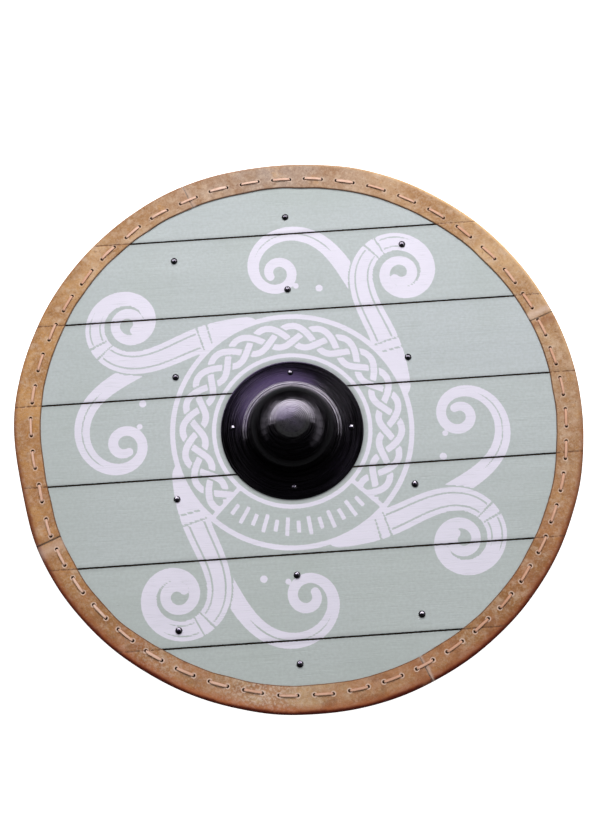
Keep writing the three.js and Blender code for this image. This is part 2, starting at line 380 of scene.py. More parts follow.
# Painted pattern on the planks: a plait round the boss, and four curling arms with tendrils
pattern = {
    "gap": 3.2,    # bare line round a stroke that lies over another
    "arms": 4, "firstArm": 20.0, "armScale": 0.93,
    "armStart": 158.0, "armHeading": 66.0,
    # bends: length along the stroke and turn per mm; widths: length and half width in mm
    "armBends": ((0, .005), (80, .0045), (140, -.005), (210, -.0172), (320, -.0215), (420, -.0315),
                 (500, -.050), (555, -.072)),
    "armWidth": ((0, 24), (30, 22), (190, 18), (320, 12.5), (485, 7), (537, 8.5), (555, 7)),
    "armLine": ((0, 13), (190, 9.5), (320, 6.5)),    # painted line's distance from the middle
    "tendrilAt": 146.0, "tendrilTurn": 14.0,
    "tendrilBends": ((0, -.002), (60, .002), (130, .0128), (230, .018), (300, .031), (370, .051),
                     (415, .072)),
    "tendrilWidth": ((0, 13), (20, 14), (150, 12), (300, 7.5), (397, 7.5), (415, 6.5)),
    "collars": (64.0, 236.0), "collarHalf": 7.5, "collarLine": 1.3,
    "outside": -50.0, "step": 1.5,    # field value far from any stroke, and spacing along a path
    "plaitMiddle": 138.0, "plaitSwing": 15.5, "plaitTurns": 8, "plaitStrand": 4.6, "plaitGap": 2.6,
    "plaitHalf": 26.0, "ringOuter": 167.5, "ringOuterHalf": 3.6, "ringInner": 109.5, "ringInnerHalf": 3.0,
    "panelFrom": 225.0, "panelTo": 315.0, "panelStrokes": 13, "strokeHalf": 2.8, "strokeReach": (8.5, 13.0),
    "dotRadius": 5.2, "dotRing": 214.0, "dots": ((0, 1.0), (9, 0.8), (16.5, 0.6)),
}


# Points along a path whose curvature runs evenly between the values given at its lengths
def windPath(start, heading, bends, scale):
    step = pattern["step"]
    lengths, curves = np.array(bends).T
    lengths, curves = lengths * scale, curves / scale
    along = np.arange(0, lengths[-1], step)
    turn = heading * degree + np.cumsum(np.interp(along, lengths, curves)) * step
    walk = np.stack([np.cos(turn), np.sin(turn)], 1) * step
    return start + np.cumsum(walk, 0), along, turn / degree


# For each spot: its distance from a path, and how far along the nearest point lies
def nearPath(spots, path, along, margin=40.0):
    distance = np.full(len(spots), 1e3)
    place = np.zeros(len(spots))
    near = np.all((spots > path.min(0) - margin) & (spots < path.max(0) + margin), 1).nonzero()[0]
    for first in range(0, len(near), 20000):
        part = near[first:first + 20000]
        q = spots[part]
        apart = (q ** 2).sum(1)[:, None] + (path ** 2).sum(1)[None] - 2 * q @ path.T
        j = apart.argmin(1)
        a, b = path[np.maximum(j - 1, 0)], path[np.minimum(j + 1, len(path) - 1)]
        t = (((q - a) * (b - a)).sum(1) / ((b - a) ** 2).sum(1)).clip(0, 1)
        distance[part] = np.hypot(*(q - a - (b - a) * t[:, None]).T)
        place[part] = along[j]
    return np.array([distance, place])


def layOver(field, stroke, gap):
    return np.maximum(np.minimum(field, -stroke - gap), stroke)


def onPolar(radius, angle):
    return radius * np.array([math.cos(angle * degree), math.sin(angle * degree)])


# A bar across the ring at one angle, as a signed distance
def ringBar(radius, angle, at, half, low, high):
    offset = (angle - at) * degree
    lengthways = (high - low) / 2 - np.abs(radius - (high + low) / 2)
    stroke = np.minimum(half - np.abs(radius * np.sin(offset)), lengthways)
    return np.where(np.cos(offset) > 0, stroke, pattern["outside"])


# Signed distance to the painted edge in mm, above zero inside the pale paint
def patternField(spots, p):
    angle, radius = polarOf(spots)
    field = np.full(len(spots), p["outside"])
    strokes = []
    for k in range(p["arms"]):
        at = p["firstArm"] + k * 360 / p["arms"]
        size = p["armScale"]
        path, along, turn = windPath(onPolar(p["armStart"], at), at + p["armHeading"], p["armBends"], size)
        away, place = nearPath(spots, path, along) / size
        arm = np.interp(place, *zip(*p["armWidth"])) - away
        ends = np.interp(place, [30, 70, 275, 320], [-1, 1.5, 1.2, -1])
        line = ends - np.abs(away - np.interp(place, *zip(*p["armLine"])))
        for collar in p["collars"]:
            line = np.where(np.abs(place - collar) < p["collarHalf"] + 4, -1.0, line)
            edge = p["collarLine"] - np.abs(np.abs(place - collar) - p["collarHalf"])
            line = np.maximum(line, edge)
        first = int(p["tendrilAt"] * size / p["step"])
        path, along, _ = windPath(path[first], turn[first] + p["tendrilTurn"], p["tendrilBends"], size)
        away, place = nearPath(spots, path, along) / size
        tendril = np.interp(place, *zip(*p["tendrilWidth"])) - away
        rib = np.interp(place, [70, 110, 220, 260], [-1, 1.2, 1.0, -1]) - away
        strokes.append((arm, line, tendril, rib))
    for arm, line, tendril, rib in strokes:
        field = np.minimum(layOver(field, tendril, p["gap"]), -rib)
    for arm, line, tendril, rib in strokes:
        field = np.where(arm > -p["gap"], np.minimum(layOver(field, arm, p["gap"]), -line), field)
    for k in range(p["arms"]):
        at = p["firstArm"] + (k + 0.62) * 360 / p["arms"]
        for step, size in p["dots"]:
            centre = onPolar(p["dotRing"], at + step)
            dot = p["dotRadius"] * size - np.hypot(*(spots - centre).T)
            field = np.maximum(field, dot)
    # plait of three strands, each over and under the next
    strands, heights = [], []
    for k in range(3):
        phase = np.radians(p["plaitTurns"] * angle) + 2 * math.pi * k / 3
        slope = p["plaitSwing"] * p["plaitTurns"] * np.cos(phase) / np.maximum(radius, 60)
        middle = p["plaitMiddle"] + p["plaitSwing"] * np.sin(phase)
        strands.append(p["plaitStrand"] - np.abs(radius - middle) / np.sqrt(1 + slope ** 2))
        heights.append(np.sin(2 * phase))
    order = np.argsort(heights, axis=0)
    plait = np.full(len(spots), p["outside"])
    for lowest in order:
        strand = np.take_along_axis(np.array(strands), lowest[None], 0)[0]
        plait = layOver(plait, strand, p["plaitGap"])
    fromMiddle = np.abs(radius - p["plaitMiddle"])
    inPanel = (angle > p["panelFrom"]) & (angle < p["panelTo"])
    field = np.where(fromMiddle < p["plaitHalf"] + 6, p["outside"], field)
    field = np.where((fromMiddle < p["plaitHalf"]) & ~inPanel, np.maximum(field, plait), field)
    for ring in ("ringOuter", "ringInner"):
        field = np.maximum(field, p[ring + "Half"] - np.abs(radius - p[ring]))
    for at in (p["panelFrom"], p["panelTo"]):
        bar = ringBar(radius, angle, at, p["ringInnerHalf"], p["ringInner"], p["ringOuter"])
        field = np.maximum(field, bar)
    spacing = (p["panelTo"] - p["panelFrom"]) / (p["panelStrokes"] + 1)
    for i in range(p["panelStrokes"]):
        reach = p["strokeReach"][i % 2]
        at = p["panelFrom"] + (i + 1) * spacing
        low, high = p["plaitMiddle"] - reach, p["plaitMiddle"] + reach
        field = np.maximum(field, ringBar(radius, angle, at, p["strokeHalf"], low, high))
    return field


# Planks: rounded edges at the seams, a little cupped, with the back left bare
planks = {
    "step": 2.0, "edgeRound": 1.3, "edgeSteps": 5, "backSteps": 12,
    "cup": 0.25, "lumps": 0.12, "lumpSize": 14.0,
    "dipFrom": 300.0, "dipFade": 100.0,    # mm from the middle, where the ends begin to follow the edge
    "handHole": 52.0, "holeSides": 96, "faceDepth": 2.0,
    "tones": (0.3, 0.4, 0.15, 0.5, 0.65, 0.9, 1.0),    # from the cooler to the warmer ground
    # dirt: by X and by Y (place, spread, share), and in patches (share, size)
    "dirtX": (-330, 60, 0.5), "dirtY": (372, 38, 1.0), "dirtPatches": (0.9, 70.0),
}


def halfWidthAt(y, radius):
    return np.sqrt(np.maximum(radius ** 2 - y ** 2, 12.0 ** 2))


def makePlank(index, p):
    low, high = boxOf(f"plank_{index}")
    bottom, top = low[1], high[1]
    round_ = p["edgeRound"]
    inner = np.linspace(bottom + round_, top - round_, int((top - bottom) / p["step"]))
    curve = np.linspace(0, 90, p["edgeSteps"]) * degree
    inset, drop = round_ * (1 - np.sin(curve)), -round_ * (1 - np.cos(curve))
    lowEdge = np.stack([bottom + inset, drop], 1)[::-1]
    highEdge = np.stack([top - inset, drop], 1)
    face = np.concatenate([lowEdge[:-1], np.stack([inner, inner * 0], 1), highEdge[1:]])
    back = np.linspace(top, bottom, p["backSteps"])
    y = np.concatenate([face[:, 0], back])
    z = np.concatenate([shield["faceZ"] + face[:, 1], back * 0 + shield["backZ"]])
    onFace = np.arange(len(y)) < len(face)
    columns = int(2 * shield["plankRadius"] / p["step"])
    share = np.linspace(-1, 1, columns)
    along, across = np.meshgrid(share, np.arange(len(y)), indexing="ij")
    points = np.zeros((columns * len(y), 3))
    points[:, 1] = y[across.ravel()]
    points[:, 2] = z[across.ravel()]
    points[:, 0] = along.ravel() * halfWidthAt(points[:, 1], shield["plankRadius"])
    angle, reach = polarOf(points)
    fade = np.clip((reach - p["dipFrom"]) / p["dipFade"], 0, 1)
    points[:, :2] *= (1 - fade * edgeDip(angle) / reach.clip(1))[:, None]
    middle, half = (top + bottom) / 2, (top - bottom) / 2
    sunk = -p["cup"] * (1 - ((points[:, 1] - middle) / half) ** 2)
    sunk += p["lumps"] * clouds(points * [0.25, 1, 1], p["lumpSize"], index)
    points[:, 2] += np.where(onFace[across.ravel()], sunk, 0)
    count = len(y)
    faces = [gridFaces(columns, count, closeColumns=True), endFaces(columns, count)]
    return makePiece(f"board{index}", points, [f[:, ::-1] for f in faces])


def markPlank(piece, index, bare):
    mesh = piece.data
    mesh.materials.append(bare)
    centres = np.empty(len(mesh.polygons) * 3, np.float32)
    mesh.polygons.foreach_get("center", centres)
    onFace = centres[2::3] / mm > shield["faceZ"] - planks["faceDepth"]
    mesh.polygons.foreach_set("material_index", np.where(onFace, 0, 1).astype(np.int32))
    points = pointsOf(piece)
    low, high = boxOf(f"plank_{index}")
    # mm from the nearest seam: the first and the last plank have one only
    fromSeam = np.minimum(
        points[:, 1] - low[1] if index < 7 else 99.0, high[1] - points[:, 1] if index > 1 else 99.0)
    dirt = planks["dirtPatches"][0] * clouds(points, planks["dirtPatches"][1], 12)
    for values, (place, spread, share) in zip(points.T, (planks["dirtX"], planks["dirtY"])):
        dirt += share * bump(values, place, spread)
    fromBoss = points[:, :2] - bossMiddle
    writeMark(piece, "paint", patternField(fromBoss, pattern).clip(-6, 6))
    writeMark(piece, "seam", np.clip(fromSeam, 0, 20) + np.zeros(len(points)))
    writeMark(piece, "tone", np.full(len(points), planks["tones"][index - 1]))
    writeMark(piece, "dirt", dirt.clip(0, 1))
    writeMark(piece, "fromBoss", np.hypot(*fromBoss.T).clip(0, 300))


print("planks and pattern described")


# Leather edge: a folded channel in four lengths, wavy, dented along the seams and at its holes
leather = {
    "step": 0.24,    # degrees between columns
    "fold": 3.6, "faceStep": 1.5,
    "outerWave": 55.0, "innerWave": 28.0, "innerWobble": 0.8,
    # where the band is narrower or wider: degrees, spread, mm
    "innerFalls": ((90, 24, -3.6), (188, 10, -4.6), (132, 22, 2.4), (222, 15, 3.4), (22, 16, 1.6)),
    "wobble": 0.55, "lumps": 0.32, "lumpSize": 13.0, "fineLumps": 0.14, "fineSize": 4.5,
    "crease": 0.5, "creaseWidth": 1.8,
    "haloRise": 0.4, "haloRadius": 3.4, "haloSpread": 1.5, "holeSink": 0.7, "sinkSpread": 2.2,
    "endGap": 0.35, "endRound": 0.8, "endSoft": 1.2, "endSwell": (0.5, 7.0, 5.0),
    "fadeIn": 5.0, "fadeFrom": 23.0, "fadeRise": 3.0,    # the relief grows inward, and with height
    "holeRadius": 1.85, "holeOut": 0.8, "holeSides": 14,
}
stitching = {
    "count": 50, "first": 4.3, "drift": 0.9, "phase": 60.0,    # degrees
    "strays": ((38, 20, -1.1), (199, 8, 0.7)),    # degrees: place, spread, how far the stitches are pulled
    "radius": 375.5, "half": 11.8, "follow": 0.95, "unsteady": 0.4, "mostUnsteady": 0.8,
}


def stitchAngles(s):
    even = 360.0 * np.arange(s["count"]) / s["count"] + s["first"]
    pulled = even + s["drift"] * np.cos((even + s["phase"]) * degree)
    for place, spread, pull in s["strays"]:
        pulled += pull * bump(even, place, spread)
    return pulled


# Turn and radius of every hole, two to a stitch
def holePlaces(s, out):
    reach = (s["half"] + out) / s["radius"]
    turns = ((stitchAngles(s) * degree)[:, None] + np.array([-reach, reach])).ravel()
    most = s["mostUnsteady"]
    unsteady = np.random.default_rng(23).normal(0, s["unsteady"], len(turns)).clip(-most, most)
    return turns, s["radius"] - s["follow"] * edgeDip(turns / degree) + unsteady


def holeSpots(s, out):
    turns, radii = holePlaces(s, out)
    return np.stack([radii * np.cos(turns), radii * np.sin(turns)], -1)


def channelSection(p):
    top, bottom, fold = shield["leatherTop"], shield["leatherBottom"], p["fold"]
    band, t = shield["bandWidth"], shield["leatherThickness"]
    lip = [(0.0, -1.3), (0.15, -0.7), (0.6, -0.2), (1.3, 0.0)]    # the rounded inner edge
    outer = [(band - u, top + z) for u, z in lip]
    outer += [(u, top) for u in np.arange(band - 2.6, fold + 0.6, -p["faceStep"])]
    for a in np.linspace(0, 90, 7) * degree:
        outer.append((fold - fold * math.sin(a), top - fold + fold * math.cos(a)))
    outer += [(0.0, z) for z in np.linspace(top - fold, bottom + fold, 5)[1:-1]]
    for a in np.linspace(90, 0, 7) * degree:
        outer.append((fold - fold * math.sin(a), bottom + fold - fold * math.cos(a)))
    outer += [(u, bottom) for u in np.linspace(fold + 2, band - 1, 12)]
    outer += [(band, bottom + 0.7), (band, bottom + t)]
    inner = [(band / 2, bottom + t), (t, bottom + t), (t, top - t), (band / 2, top - t), (band, top - t)]
    return np.array(outer + inner), len(outer)


def nearestHole(points, holes):
    away = np.full(len(points), 99.0)
    for x, y in holes:
        away = np.minimum(away, np.hypot(points[:, 0] - x, points[:, 1] - y))
    return away


def nearestSeam(points):
    return np.abs(points[:, 1][:, None] - np.array(seams)).min(1)


# Radius of the outer edge, and width of the band, at an angle
def leatherEdges(angle, p):
    ring = np.stack([np.cos(angle * degree), np.sin(angle * degree), angle * 0], -1)
    outerEdge = shield["radius"] - edgeDip(angle) + p["wobble"] * clouds(ring * 400, p["outerWave"], 3)
    width = shield["bandWidth"] - edgeDip(angle) + p["innerWobble"] * clouds(ring * 362, p["innerWave"], 5)
    return outerEdge, width - aroundEdge(angle, p["innerFalls"])


def makeLeather(index, p, cutter):
    start = shield["joints"][index - 1]
    end = shield["joints"][index % 4] + (360 if index == 4 else 0)
    inset = p["endGap"] / shield["radius"] / degree
    columns = int((end - start) / p["step"])
    degrees = np.linspace(start + inset, end - inset, columns)
    section, outerCount = channelSection(p)
    inward, angle = np.meshgrid(section[:, 0], degrees)
    z = np.broadcast_to(section[:, 1], inward.shape)
    outerEdge, width = leatherEdges(angle.ravel(), p)
    radius = outerEdge - inward.ravel() / shield["bandWidth"] * width
    turn = angle.ravel() * degree
    points = np.column_stack([radius * np.cos(turn), radius * np.sin(turn), z.ravel()])
    isOuter = np.broadcast_to(np.arange(len(section)) < outerCount, inward.shape).ravel()
    onFace = isOuter & (points[:, 2] > shield["leatherTop"] - p["fold"] - 1)
    fade = np.clip(inward.ravel() / p["fadeIn"], 0, 1)
    fade *= np.clip((points[:, 2] - p["fadeFrom"]) / p["fadeRise"], 0, 1)
    hole = nearestHole(points, laceSpots)
    rise = p["haloRise"] * bump(hole, p["haloRadius"], p["haloSpread"])
    rise -= p["holeSink"] * bump(hole, 0.0, p["sinkSpread"])
    rise -= p["crease"] * bump(nearestSeam(points), 0.0, p["creaseWidth"])
    rise += p["lumps"] * clouds(points, p["lumpSize"], 11)
    rise += p["fineLumps"] * clouds(points, p["fineSize"], 12)
    fromEnd = np.minimum(angle.ravel() - start, end - angle.ravel()) * degree * points[:, :2].max()
    rise -= p["endRound"] * np.exp(-fromEnd / p["endSoft"])
    swell, place, spread = p["endSwell"]
    rise += swell * bump(fromEnd, place, spread)
    points[:, 2] += np.where(onFace, rise * fade, 0)
    count = len(section)
    grid = gridFaces(columns, count, closeColumns=True)
    ends = capFaces(columns, count, outerCount)
    piece = makePiece(f"leatherEdge{index}", points, [grid, ends])
    cutAway(piece, cutter)
    return piece


# Both ends of the channel, closed between its outer and its inner surface
def capFaces(columns, count, outerCount):
    outer = np.arange(outerCount)
    inner = np.concatenate([np.arange(count - 1, outerCount - 1, -1), [outerCount - 1]])
    pairs = np.round(np.linspace(0, len(inner) - 1, outerCount)).astype(int)
    across = inner[pairs]
    faces = []
    for i in range(outerCount - 1):
        faces.append([outer[i], outer[i + 1], across[i + 1]])
        if across[i] != across[i + 1]:
            faces.append([outer[i], across[i + 1], across[i]])
    faces = np.array([f for f in faces if len(set(f)) == 3])
    return np.concatenate([faces, faces[:, ::-1] + (columns - 1) * count])


# Marks for the leather's colours, and glow for the painted highlight on the outer edge. Round the edge:
# (degrees, spread, strength)
leatherMarks = {
    "pink": ((92, 32, 1), (5, 22, 0.6), (262, 22, 0.35)),
    "dark": ((318, 26, 0.9), (226, 22, 0.7), (285, 16, 0.3)),
    "pale": ((42, 26, 0.6), (268, 26, 0.9), (10, 24, 0.4), (135, 22, 0.35)),
    "speckled": ((259, 9, 1), (236, 8, 0.5)),
    "glow": ((45, 36, 1),),
    "ember": ((256, 30, 1),),
}
# Wear at the four joints: pale and dark bands beside the line, in mm along the edge
jointWear = {
    # pale (at, spread, share), dark (at, spread, share), share of the line
    "bands": (
        ((7.0, 5.0, 0.75), (-8.0, 7.0, 0.75), 0.45),
        ((-1.0, 3.0, 0.6), (8.0, 7.0, 0.3), 0.2),
        ((11.0, 9.0, 0.5), (-5.0, 4.0, 0.35), 0.95),
        ((1.6, 1.7, 0.9), (-9.0, 7.0, 0.65), 0.3),
    ),
    "wander": 2.0, "wanderSize": 7.0, "lineWidth": 0.9,
}


def markLeather(piece):
    points = pointsOf(piece)
    angle, reach = polarOf(points)
    bandPale, bandDark, line = np.zeros((3, len(points)))
    wander = jointWear["wander"] * clouds(points, jointWear["wanderSize"], 31)
    for at, (lightBand, darkBand, share) in zip(shield["joints"], jointWear["bands"]):
        along = turnFrom(angle, at) * degree * reach
        uneven = along + wander
        bandPale += lightBand[2] * bump(uneven, *lightBand[:2])
        bandDark += darkBand[2] * bump(uneven, *darkBand[:2])
        line += share * bump(along, 0, jointWear["lineWidth"])
    outerEdge, width = leatherEdges(angle, leather)
    shares = {name: aroundEdge(angle, bumps) for name, bumps in leatherMarks.items()}
    shares |= {"bandPale": bandPale, "bandDark": bandDark, "jointLine": line}
    # share that grows towards the lower side: there it deepens the burnt edge and darkens the rim as painted
    # shade, and keeps some stains
    shares["lowerSide"] = (0.3 - np.sin((angle + 4) * degree)) / 1.1
    for name, values in shares.items():
        writeMark(piece, name, values.clip(0, 1))
    distances = {
        "inward": outerEdge - reach, "fromInner": reach - outerEdge + width, "crease": nearestSeam(points),
        "hole": nearestHole(points, laceSpots),
    }
    for name, values in distances.items():
        writeMark(piece, name, values.clip(0, 45))


# Thong: one body running over the leather, down each hole, behind, and up the next
thong = {
    "width": 3.9, "thickness": 1.6, "bend": 1.5, "front": 28.45, "back": 11.6,
    "puff": 0.55, "tilt": 0.12, "sway": 0.45, "pinch": 0.86, "uneven": 0.06,
    "sectionSides": 12, "square": 0.55, "endGap": 4.0,
    "paler": ((100, 34), (215, 42)),    # where the thong is less stained: angle and spread
    # the two edges are darkened as painted shade on the thong's rounded sides, the inner one more
    "innerEdge": 1.0, "outerEdge": 0.55,    # how dark the two edges are
}


def bendPoints(cx, cz, radius, start, end):
    turn = np.linspace(start, end, 5) * degree
    return np.stack([cx + radius * np.cos(turn), cz + radius * np.sin(turn)], 1)


def makeLace(p):
    rng = np.random.default_rng(17)
    s, reach = stitching, stitching["radius"]
    centres = stitchAngles(s) * degree * reach
    bend, top, low = p["bend"], p["front"], p["back"]
    places, swells, tones = [], [], []

    def walk(points, swell, tone):
        places.append(points)
        swells.append(np.broadcast_to(swell, len(points)))
        tones.append(np.full(len(points), tone))

    firstLeg = centres[0] - s["half"]
    lastLeg = centres[-1] + s["half"] - 2 * math.pi * reach
    seam = (firstLeg + lastLeg) / 2
    previous = seam + p["endGap"] / 2
    for k, centre in enumerate(centres):
        around = centre / reach / degree
        paler = max(bump(turnFrom(around, place), 0, spread) for place, spread in p["paler"])
        tone = 0.35 * rng.uniform(0, 1) + 0.65 * paler
        a, b = centre - s["half"], centre + s["half"]
        backRun = np.linspace(previous, a - bend, 12 if k else 7)
        swell = 1 - (1 - p["pinch"]) * np.abs(np.linspace(-1, 1, len(backRun))) ** 4
        walk(np.stack([backRun, np.full(len(backRun), low)], 1)[:-1], swell[:-1], tone)
        climb = np.linspace(low + bend, top - bend, 5)[1:-1]
        walk(bendPoints(a - bend, low + bend, bend, -90, 0), p["pinch"], tone)
        walk(np.stack([np.full(3, a), climb], 1), p["pinch"], tone)
        walk(bendPoints(a + bend, top - bend, bend, 180, 90), p["pinch"], tone)
        run = np.linspace(a + bend, b - bend, 17)[1:-1]
        across = np.linspace(-1, 1, 17)[1:-1]
        rise = top + p["puff"] * (1 - across ** 2) + p["tilt"] * rng.normal() * across
        swell = 1 + p["uneven"] * rng.normal() - (1 - p["pinch"]) * across ** 6
        walk(np.stack([run, rise], 1), swell, tone)
        walk(bendPoints(b - bend, top - bend, bend, 90, 0), p["pinch"], tone)
        walk(np.stack([np.full(3, b), climb[::-1]], 1), p["pinch"], tone)
        walk(bendPoints(b + bend, low + bend, bend, 180, 270), p["pinch"], tone)
        previous = b + bend
    final = np.linspace(previous, seam + 2 * math.pi * reach - p["endGap"] / 2, 7)[1:]
    walk(np.stack([final, np.full(len(final), low)], 1), 1.0, 0.5)
    line, swell = np.concatenate(places), np.concatenate(swells)
    tangent = np.gradient(line, axis=0)
    tangent /= np.hypot(*tangent.T)[:, None]
    normal = np.stack([-tangent[:, 1], tangent[:, 0]], 1)
    turn = (np.arange(p["sectionSides"]) + 0.5) * 2 * math.pi / p["sectionSides"]
    wide, deep = [np.sign(v) * np.abs(v) ** p["square"] * size / 2
                  for v, size in ((np.cos(turn), p["width"]), (np.sin(turn), p["thickness"]))]
    sway = p["sway"] * np.sin(line[:, 0] / 17.0) * np.clip((line[:, 1] - 27.5) / 1.0, 0, 1)
    turns, radii = holePlaces(s, 0.0)
    middle = np.interp(line[:, 0], turns * reach, radii, period=2 * math.pi * reach)
    radius = (middle + sway)[:, None] + wide[None] * swell[:, None]
    spot = line[:, None] + normal[:, None] * deep[None, :, None]
    angle = spot[..., 0] / reach
    points = np.stack([radius * np.cos(angle), radius * np.sin(angle), spot[..., 1]], -1).reshape(-1, 3)
    points[:, 2] += np.where(points[:, 2] > 27, 0.1 * clouds(points, 2.6, 21), 0)
    count = p["sectionSides"]
    faces = [gridFaces(len(line), count, closeColumns=True), endFaces(len(line), count)]
    piece = makePiece("thong", points, faces, 60)
    writeMark(piece, "tone", np.repeat(np.concatenate(tones), count))
    # painted shade along the thong's edges, stronger on the inner side
    sideShare = np.where(np.cos(turn) < 0, p["innerEdge"], p["outerEdge"])
    writeMark(piece, "edge", np.tile(sideShare * np.abs(np.cos(turn)) ** 3, len(line)))
    return piece


print("leather and thong described")


# Profile of (radius, height) turned round the Z axis, with a pole where the radius is nothing
def makeTurned(name, profile, sides, centre, waver=0.0, seed=0, sharpAngle=38):
    profile = np.array(profile, float)
    turn = np.arange(sides) * 2 * math.pi / sides
    starts, ends = profile[0, 0] == 0, profile[-1, 0] == 0
    body = profile[1 if starts else 0:len(profile) - 1 if ends else len(profile)]
    ring = np.stack([np.cos(turn), np.sin(turn)], 1)
    points = np.concatenate([np.column_stack([ring * r, np.full(sides, z)]) for r, z in body])
    quads = gridFaces(len(body), sides, closeRows=not starts, closeColumns=True)
    around = np.arange(sides)
    fans = []
    if starts:
        points = np.vstack([points, [0, 0, profile[0, 1]]])
        fans.append(np.stack([np.full(sides, len(points) - 1), (around + 1) % sides, around], 1))
    if ends:
        last = (len(body) - 1) * sides
        points = np.vstack([points, [0, 0, profile[-1, 1]]])
        pole = np.full(sides, len(points) - 1)
        fans.append(np.stack([pole, last + around, last + (around + 1) % sides], 1))
    if waver:
        points[:, :2] *= 1 + waver * clouds(points + seed * 31, 3.2, 7)[:, None]
        points[:, 2] += waver * 4 * clouds(points + seed * 31, 2.8, 8) * np.clip(points[:, 2] / 2, 0, 1)
    points = points + [centre[0], centre[1], 0]
    return makePiece(name, points, [quads, *fans], sharpAngle)


# Boss: one wall from the dished flange over a double bead and up into a dome
boss = {
    "radius": 100.0, "seat": boxOf("boss")[0][2], "wall": 1.8, "dish": 2.2, "edgeRound": 0.7,
    "beadRadius": 66.0, "beadHalf": 3.3,
    # the double bead: (radius, height above the flange) of its two sloping steps
    "bead": ((69.3, 0.0), (68.9, 0.25), (67.0, 1.05), (66.5, 1.1), (66.15, 0.75), (65.8, 0.7),
             (65.4, 0.95), (63.7, 1.65), (63.2, 1.65), (62.85, 1.3)),
    "domeFoot": 62.4, "apex": boxOf("boss")[1][2], "fullness": 2.06, "domeSteps": 46, "sides": 192,
    "cap": 18.5, "capStep": 0.35, "insideFullness": 2.1, "insideSteps": 24,
}


def flangeTop(radius, p):
    foot = p["beadRadius"] + p["beadHalf"]
    return p["seat"] + p["wall"] + p["dish"] * ((p["radius"] - radius) / (p["radius"] - foot)) ** 2


def bossOutside(p):
    top = p["seat"] + p["wall"]
    foot = p["beadRadius"] + p["beadHalf"]
    profile = [(p["radius"], p["seat"] + 0.5)]
    for a in np.linspace(0, 90, 4) * degree:
        r = p["radius"] - p["edgeRound"] * (1 - math.cos(a))
        profile.append((r, top - p["edgeRound"] * (1 - math.sin(a))))
    for r in np.linspace(p["radius"] - 2.5, foot + 0.6, 18):
        profile.append((r, flangeTop(r, p)))
    base = top + p["dish"]
    profile += [(r, base + rise) for r, rise in p["bead"]]
    for u in np.linspace(0.02, 1, p["domeSteps"]):
        share = math.sin(u * math.pi / 2)
        full = p["fullness"]
        r = p["domeFoot"] * (1 - share ** full) ** (1 / full) if share < 1 else 0.0
        worn = p["capStep"] / (1 + math.exp((r - p["cap"]) / 0.7))
        profile.append((r, base + 0.9 + (p["apex"] - base - 0.9) * share - worn))
    return profile


def bossInside(p):
    low, wall, full = p["seat"], p["wall"], p["insideFullness"]
    profile = []
    inner = p["domeFoot"] - wall - 0.4
    for u in np.linspace(1, 0, p["insideSteps"]):
        share = math.sin(u * math.pi / 2)
        r = inner * (1 - share ** full) ** (1 / full) if share < 1 else 0.0
        profile.append((r, low + 1.0 + (p["apex"] - wall - 0.6 - low - 1.0) * share))
    profile += [(inner + 1.4, low + p["dish"]), (p["beadRadius"] + 2, low + p["dish"])]
    profile += [(p["radius"] - 1.2, low), (p["radius"], low + 0.2)]
    return profile


def makeBoss(p, cutter):
    profile = bossInside(p) + bossOutside(p)
    piece = makeTurned("bossShell", profile, p["sides"], bossMiddle, sharpAngle=50)
    cutAway(piece, cutter, 50)
    points = pointsOf(piece) - [*bossMiddle, 0]
    setPoints(piece.data, points)
    piece.location = (*bossMiddle * mm, 0)    # so that its brush lines run round it
    writeMark(piece, "fromAxis", polarOf(points)[1])
    return piece


# Nails and rivets: hand-forged domes, no two quite alike, on square shanks
heads = {
    "nail": {"radius": 4.75, "rise": 3.6, "tail": 0.0},
    "rivet": {"radius": 4.0, "rise": 3.2, "tail": 3.5},
    "shank": 2.15, "gap": 0.3, "sides": 28,
    "blow": 20.0, "bite": 0.32,    # the last hammer blow's tilt in degrees, and its depth
    "earlierBlows": (44, 38), "earlierShare": 0.7, "waver": 0.05,
    "domeTurns": (12, 26, 40, 54, 68, 80),
}


def makeNail(node, p, number):
    low, high = boxOf(node)
    spot = (low + high)[:2] / 2
    isRivet = "rivet" in node
    kind = p["rivet" if isRivet else "nail"]
    seat = high[2] - kind["rise"]
    if isRivet:
        seat = flangeTop(np.hypot(*(spot - bossMiddle)), boss) + 0.15
    r, h, side = kind["radius"], kind["rise"], p["shank"]
    profile = [(0, low[2])]
    if low[2] > 5:
        tail = kind["tail"]
        steps = ((tail * 0.7, 0.05), (tail, 0.7), (tail, 1.5), (side, 2))
        profile += [(x, low[2] + z) for x, z in steps]
    else:
        profile += [(side * 0.8, low[2]), (side, low[2] + 1.2)]
    profile += [(side, seat - 6), (side, seat), (r * 0.97, seat), (r, seat + 0.35)]
    for a in p["domeTurns"]:
        profile.append((r * math.cos(a * degree), seat + 0.35 + (h - 0.35) * math.sin(a * degree)))
    profile.append((0, seat + h))
    profile = [(x, y - seat) for x, y in profile]
    piece = makeTurned(node.replace("_", ""), profile, p["sides"], (0, 0), p["waver"], number, 30)
    points = pointsOf(piece)
    rng = np.random.default_rng(number + 60)
    # one blow towards the top of the shield, and two lighter ones anywhere
    blows = ((p["blow"], 90 + rng.normal(0, 14), p["bite"]),
             *[(tilt, rng.uniform(0, 360), p["bite"] * p["earlierShare"]) for tilt in p["earlierBlows"]])
    for tilt, turn, bite in blows:
        tilt, turn = (tilt + rng.normal(0, 1.5)) * degree, turn * degree
        facing = np.array([math.sin(tilt) * math.cos(turn), math.sin(tilt) * math.sin(turn), math.cos(tilt)])
        reach = points @ facing
        over = np.maximum(reach - (reach.max() - bite), 0) * (points[:, 2] > 0.4)
        points -= over[:, None] * facing
    points += [spot[0], spot[1], seat]
    setPoints(piece.data, points)
    smoothPiece(piece, 22)
    return piece


